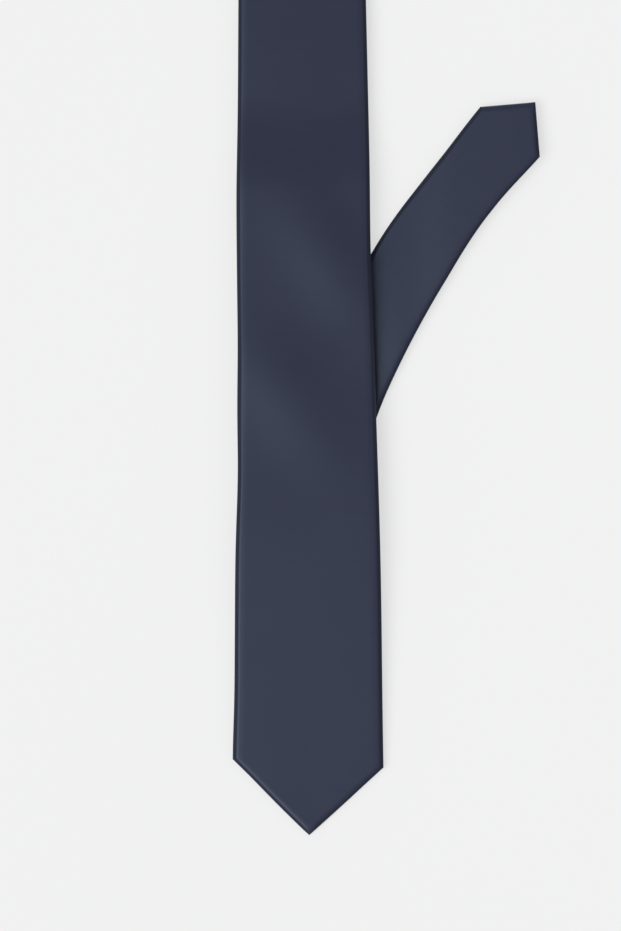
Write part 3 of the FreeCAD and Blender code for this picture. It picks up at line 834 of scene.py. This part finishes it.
frontTipping = liningStrip(
    "frontTipping", frontPlan, rowsThrough(*innerRows, (inner["tippingReach"], 3)), onTie, inner["tipping"])
tailTipping = liningStrip(
    "tailTipping", tailEndPlan, rowsThrough(*innerRows, (inner["tailTippingReach"], 3)), onTailEnd,
    inner["tipping"])
for tipping in (frontTipping, tailTipping):
    dressed(tipping, tippingCloth)
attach(frontTipping, "front_blade")
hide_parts("front_tipping")
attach(tailTipping, "tail_end")
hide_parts("tail_tipping")
print("interlining and tipping laid in")

# One stitch of thread: its ends sink into the cloth in two steps, and the last one tapers.
stitchLook = {"length": 5.0, "radius": 0.12, "sides": 6, "cuts": 4, "sink": 0.16, "taper": 0.5,
              "steps": ((0.45, 1.0), (0.25, 0.3))}


def chooseInEdit(piece, kind, test):
    bpy.ops.mesh.select_mode(type=kind)
    bpy.ops.mesh.select_all(action="DESELECT")
    shape = bmesh.from_edit_mesh(piece.data)
    for part in (shape.edges if kind == "EDGE" else shape.verts):
        if test(part):
            part.select_set(True)
    bmesh.update_edit_mesh(piece.data)


# One stitch along Y, its ends drawn down into the cloth; Z points out of the cloth.
def modelStitch(look):
    length, radius = look["length"] * mm, look["radius"] * mm
    bpy.ops.object.select_all(action="DESELECT")
    bpy.ops.mesh.primitive_cylinder_add(
        vertices=look["sides"], radius=radius, depth=length, rotation=(math.pi / 2, 0, 0))
    stitch = bpy.context.object
    bpy.ops.object.transform_apply(rotation=True)
    bpy.ops.object.mode_set(mode="EDIT")
    chooseInEdit(stitch, "EDGE", lambda e: abs(e.verts[0].co.y - e.verts[1].co.y) > length / 2)
    bpy.ops.mesh.subdivide(number_cuts=look["cuts"])
    for step, (reach, sink) in enumerate(look["steps"]):
        for end in (-1, 1):
            chooseInEdit(stitch, "VERT", lambda v: v.co.y * end > length * reach)
            if step == 0:
                bpy.ops.transform.resize(
                    value=(look["taper"], 1, look["taper"]), center_override=(0, end * length / 2, 0))
            bpy.ops.transform.translate(value=(0, 0, -look["sink"] * sink * mm))
    bpy.ops.object.mode_set(mode="OBJECT")
    bpy.ops.object.shade_smooth()
    return stitch


# Where one stitch sits: along the strip, turned on the cloth, its length a share of the modelled one.
def seat(place, x, y, h, turn=0.0, length=1.0):
    spot = Vector(place(x, y, h))
    along = (Vector(place(x, y + 1, h)) - Vector(place(x, y - 1, h))).normalized()
    out = Vector(place(x, y, h - 1)) - spot
    out = (out - along * out.dot(along)).normalized()
    frameOf = Matrix((along.cross(out), along, out)).transposed().to_4x4()
    return (Matrix.Translation(spot) @ frameOf @ Matrix.Rotation(math.radians(turn), 4, "Z")
            @ Matrix.Diagonal((1, length, 1, 1)))


def turnedOver(seats):
    return [each @ Matrix.Rotation(math.pi, 4, "Y") for each in seats]


def sewn(name, model, seats):
    copies = []
    for number, matrix in enumerate(seats):
        copy = bpy.data.objects.new(f"{name}{number}", model.data.copy())
        bpy.context.scene.collection.objects.link(copy)
        copy.matrix_world = matrix
        copies.append(copy)
    bpy.context.view_layer.update()
    pickOnly(copies[0])
    for copy in copies:
        copy.select_set(True)
    bpy.ops.object.join()
    bpy.ops.object.transform_apply(location=True, rotation=True, scale=True)
    joinedPiece = bpy.context.object
    joinedPiece.name = joinedPiece.data.name = name
    return dressed(joinedPiece, thread)


tackLook = {"wraps": 8, "pitch": 0.2, "first": 0.1, "sway": 0.05, "tilt": 3, "width": 0.6,
            "coreApart": 0.25, "coreMiddle": 0.8, "coreLength": 0.3, "coreHeight": 0.08, "height": -0.02}


# Two core threads along the seam, and a row of wraps across them.
def barTack(place, y):
    look = tackLook
    seats = [
        seat(place, look["coreApart"] * side, y + look["coreMiddle"], -halfDepth + look["coreHeight"], 0,
             look["coreLength"])
        for side in (-1, 1)
    ]
    seats += [
        seat(place, random.uniform(-look["sway"], look["sway"]), y + (look["first"] + look["pitch"] * k),
             -halfDepth + look["height"], 90 + random.uniform(-look["tilt"], look["tilt"]), look["width"])
        for k in range(look["wraps"])
    ]
    return seats


seamLook = {"pitch": 11.0, "slant": 6.0, "sway": 1, "height": -halfDepth + 0.05, "middle": 2.5, "spare": 3}


def slipSeats(place, start, end):
    look = seamLook
    seats, y = [], start
    while y < end - look["spare"]:
        turn = look["slant"] + random.uniform(-look["sway"], look["sway"])
        seats.append(seat(place, 0, y + look["middle"], look["height"], turn))
        y += look["pitch"]
    return seats


# The stitches start past a tack or a joining seam, and those of the tail stop short of the crease.
seamRuns = {"frontStart": 101, "tailStart": 4, "tailStop": 2, "endStart": 65, "endStop": 6}

stitch = modelStitch(stitchLook)
frontStitches = sewn("frontSlipStitches", stitch, slipSeats(onTie, seamRuns["frontStart"], frontJoin))
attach(frontStitches, "front_blade")
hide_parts("front_slip_stitches")
tailRun = (tailJoin + seamRuns["tailStart"], creaseNear - seamRuns["tailStop"])
tailStitches = sewn("tailSlipStitches", stitch, slipSeats(onTie, *tailRun))
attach(tailStitches, "tail_strip")
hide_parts("tail_slip_stitches")
endRun = (seamRuns["endStart"], tailEndFar - seamRuns["endStop"])
endStitches = sewn("tailEndSlipStitches", stitch, slipSeats(onTailEnd, *endRun))
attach(endStitches, "tail_end")
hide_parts("tail_end_slip_stitches")
frontTack = sewn("frontBarTack", stitch, barTack(onTie, frontPlan["point"]["tack"]))
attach(frontTack, "front_blade")
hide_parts("front_bar_tack")
tailTack = sewn("tailBarTack", stitch, barTack(onTailEnd, tailEndPlan["point"]["tack"]))
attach(tailTack, "tail_end")
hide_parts("tail_bar_tack")
print("seams sewn")

# The keeper loop lies across the back of the blade and stands off it between its two sewn feet.
keeper = {
    "from": alongAt("keeper_loop", 0),
    "to": alongAt("keeper_loop", 1),
    "reach": (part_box("keeper_loop")[1].x - bladeMiddle) / mm,  # from the middle to either end
    "half": 5.0,  # half its width
    "rise": 0.25,  # half its thickness
    "gap": 0.03,
    "opening": 0.55,
    "foot": 3.0,
    "footRun": 4,
    "stitchIn": 1.5,  # its threads: how far from the end, in how wide clusters, how close together
    "stitchOut": 3.3,
    "stitchPitch": 0.26,
    "stitches": 6,
    "stitchLength": 0.32,
}
threadUp = 0.02  # how far a thread stands off what it sews


# x runs along the blade, y across it, h away from its back
def onKeeper(x, y, h):
    across, along = y - keeper["reach"], (keeper["from"] + keeper["to"]) / 2 + x
    foot = keeper["reach"] - keeper["foot"]
    free = 1 - between(abs(across), (foot - keeper["footRun"], foot))
    depth = keeper["gap"] + keeper["rise"] + keeper["opening"] * free
    return inFrame(across, along, bladeLevel(along) + swell(across, along) - depth - h)


keeperPlan = dict(
    strip, rise=keeper["rise"], gauge=0.18, faceRoll=0.5, backRoll=0.4, seamHalf=0.1, lip=0, flapSteps=3,
    half=lambda y: keeper["half"], slant=noSlant, joins=(False, False), point=None,
    shares=sharesAcross(keeper["half"], 0.5, 0.75), rows=rowsThrough((0, 1.0), (2 * keeper["reach"], 1.0)))
keeperLoop = dressed(foldedCloth("keeperLoop", keeperPlan, onKeeper), satin)
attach(keeperLoop, "front_blade")
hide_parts("keeper_loop")
keeperSeats = [
    seat(onKeeper, row + keeper["stitchPitch"] * (k - (keeper["stitches"] - 1) / 2), end,
         keeper["rise"] + threadUp, 0, keeper["stitchLength"])
    for end in (keeper["stitchIn"], 2 * keeper["reach"] - keeper["stitchIn"])
    for row in (-keeper["stitchOut"], keeper["stitchOut"])
    for k in range(keeper["stitches"])
]
keeperStitches = sewn("keeperStitches", stitch, turnedOver(keeperSeats))
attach(keeperStitches, "front_blade")
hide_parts("keeper_stitches")

# The blank label is folded under at both ends and held by a few threads at its corners.
label = {
    "from": alongAt("blank_label", 0),
    "half": 17.0,
    "length": 22.0,
    "rise": 0.125,
    "gap": 0.03,
    "foldedEnd": 3.0,
    "belly": 0.10,
    "stitchOut": 15,
    "stitchStarts": (1.6, 16.4),
    "stitchPitch": 2.0,
    "stitches": 3,
    "stitchLength": 0.3,
    "stitchSlant": 8,
}


def onLabel(x, y, h):
    along = label["from"] + y
    belly = label["belly"] * math.sin(math.pi * y / label["length"]) * (1 - (x / label["half"]) ** 2)
    level = bladeLevel(along) + swell(-x, along) - label["gap"] - label["rise"]
    return inFrame(-x, along, level - belly - h)


labelPlan = dict(
    strip, rise=label["rise"], gauge=0.1, faceRoll=0.25, backRoll=0.2, lip=0, flapSteps=2,
    seamHalf=label["half"] - label["foldedEnd"], half=lambda y: label["half"], slant=noSlant,
    joins=(False, False), point=None, shares=sharesAcross(label["half"], 0.25, 1.4),
    rows=rowsThrough((0, 0.9), (label["length"], 0.9)))
blankLabel = dressed(foldedCloth("blankLabel", labelPlan, onLabel), labelCloth)
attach(blankLabel, "front_blade")
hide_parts("blank_label")

# The care label is one ribbon, sewn down at its upper end only, so the lower end curls off the blade.
care = {
    "from": alongAt("care_label", 0),
    "half": 8.0,
    "length": 26.0,
    "gap": 0.14,
    "curl": 0.32,
    "cup": 0.3,  # the share of the curl that fades towards its two edges
    "cupTurn": 1.5,
    "rise": 0.08,
    "stitchIn": 1.2,
    "stitchHeight": 0.09,
    "stitchLength": 0.36,
    "stitchAt": (-6.4, -3.8, -1.3, 1.3, 3.8, 6.4),
}


def onCare(x, y, h):
    along = care["from"] + y
    cup = (1 - care["cup"]) + care["cup"] * math.cos(x / care["half"] * care["cupTurn"])
    curl = care["curl"] * (1 - y / care["length"]) ** 2 * cup
    return inFrame(-x, along, bladeLevel(along) - care["gap"] - curl - h)


carePlan = dict(
    strip, rise=0.1, faceRoll=0.3, half=lambda y: care["half"], slant=noSlant, joins=(False, False),
    point=None, shares=sharesAcross(care["half"], 0.3, 1.0),
    rows=rowsThrough((0, 1.0), (care["length"], 1.0)))
careLabel = dressed(
    layer("careLabel", carePlan, onCare, 0.0, -care["rise"], care["rise"], 0.0), ribbonCloth)
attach(careLabel, "front_blade")
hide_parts("care_label")

labelSeats = [
    seat(onLabel, side, start + label["stitchPitch"] * k, label["rise"] + threadUp, label["stitchSlant"],
         label["stitchLength"])
    for side in (-label["stitchOut"], label["stitchOut"])
    for start in label["stitchStarts"]
    for k in range(label["stitches"])
]
labelSeats += [
    seat(onCare, x, care["length"] - care["stitchIn"], care["stitchHeight"], 90, care["stitchLength"])
    for x in care["stitchAt"]
]
labelStitches = sewn("labelStitches", stitch, turnedOver(labelSeats))
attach(labelStitches, "front_blade")
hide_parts("label_stitches")
bpy.data.objects.remove(stitch)
print("keeper loop and labels sewn on")

# The room: a pale table that is lit through from below, which keeps shadows faint, a soft sun from
# the left, and a pale world.
studio = {
    "floorSize": 24,
    "floorLevel": -0.0004,
    "floor": (0.26, 0.26, 0.26, 1),
    "floorLight": (0.27, 0.27, 0.27, 1),
    "floorGlow": 0.62,
    "world": (0.98, 0.99, 1.0, 1),
    "worldStrength": 0.50,
    "keyStrength": 1.86,
    "keyFrom": (-0.91, -0.41),  # the side that it comes from
    "keyHigh": 56.0,  # degrees above the table
    "keySoft": 46.0,  # degrees across, as a large soft panel
}

bpy.ops.object.select_all(action="DESELECT")
bpy.ops.mesh.primitive_plane_add(size=studio["floorSize"], location=(0, 0, studio["floorLevel"]))
floor = bpy.context.object
floor.name = "floor"
floorFinish, floorWire, floorSurface = newFinish(
    "paleFloor", Specular_IOR_Level=0.1, Roughness=0.9, Emission_Strength=studio["floorGlow"],
    Emission_Color=(1.0, 1.0, 1.0, 1))
floorTone = floorWire.node("TexNoise", {}, {
    "Vector": clothPlace(floorWire, source="Object"), "Scale": 3.0, "Detail": 1.0})
feed(floorWire, floorSurface,
     Base_Color=blendColour(floorWire, floorTone, studio["floor"], studio["floorLight"]))
floor.data.materials.append(floorFinish)

world = bpy.data.worlds.new("studio")
bpy.context.scene.world = world
world.use_nodes = True
sky = world.node_tree.nodes["Background"]
sky.inputs["Color"].default_value = studio["world"]
sky.inputs["Strength"].default_value = studio["worldStrength"]

lamp = bpy.data.lights.new("keyLight", "SUN")
lamp.energy, lamp.angle = studio["keyStrength"], math.radians(studio["keySoft"])
keyLight = bpy.data.objects.new("keyLight", lamp)
bpy.context.scene.collection.objects.link(keyLight)
keyHigh = math.radians(studio["keyHigh"])
keySide = Vector((*studio["keyFrom"], 0)).normalized() * math.cos(keyHigh)
keyLight.location = keySide + Vector((0, 0, math.sin(keyHigh)))
keyLight.rotation_euler = keyLight.location.to_track_quat("Z", "Y").to_euler()
bpy.context.scene.view_settings.view_transform = "Standard"

# The camera looks straight down, turned a little; height is what it sees of the table along the blade.
shot = {"middle": (1.75, 148.8, 1.5), "height": 374.9, "distance": 1500.0, "lean": 0.49,
        "sensor": 36, "farthest": 100}
cameraData = bpy.data.cameras.new("camera")
cameraData.sensor_width = shot["sensor"]
cameraData.lens = shot["sensor"] * shot["distance"] / shot["height"]
cameraData.clip_end = shot["farthest"]
camera = bpy.data.objects.new("camera", cameraData)
bpy.context.scene.collection.objects.link(camera)
camera.location = inFrame(shot["middle"][0], shot["middle"][1], shot["middle"][2] + shot["distance"])
camera.rotation_euler = (0, 0, -math.radians(shot["lean"]))
bpy.context.scene.camera = camera
print("room, light and camera set")
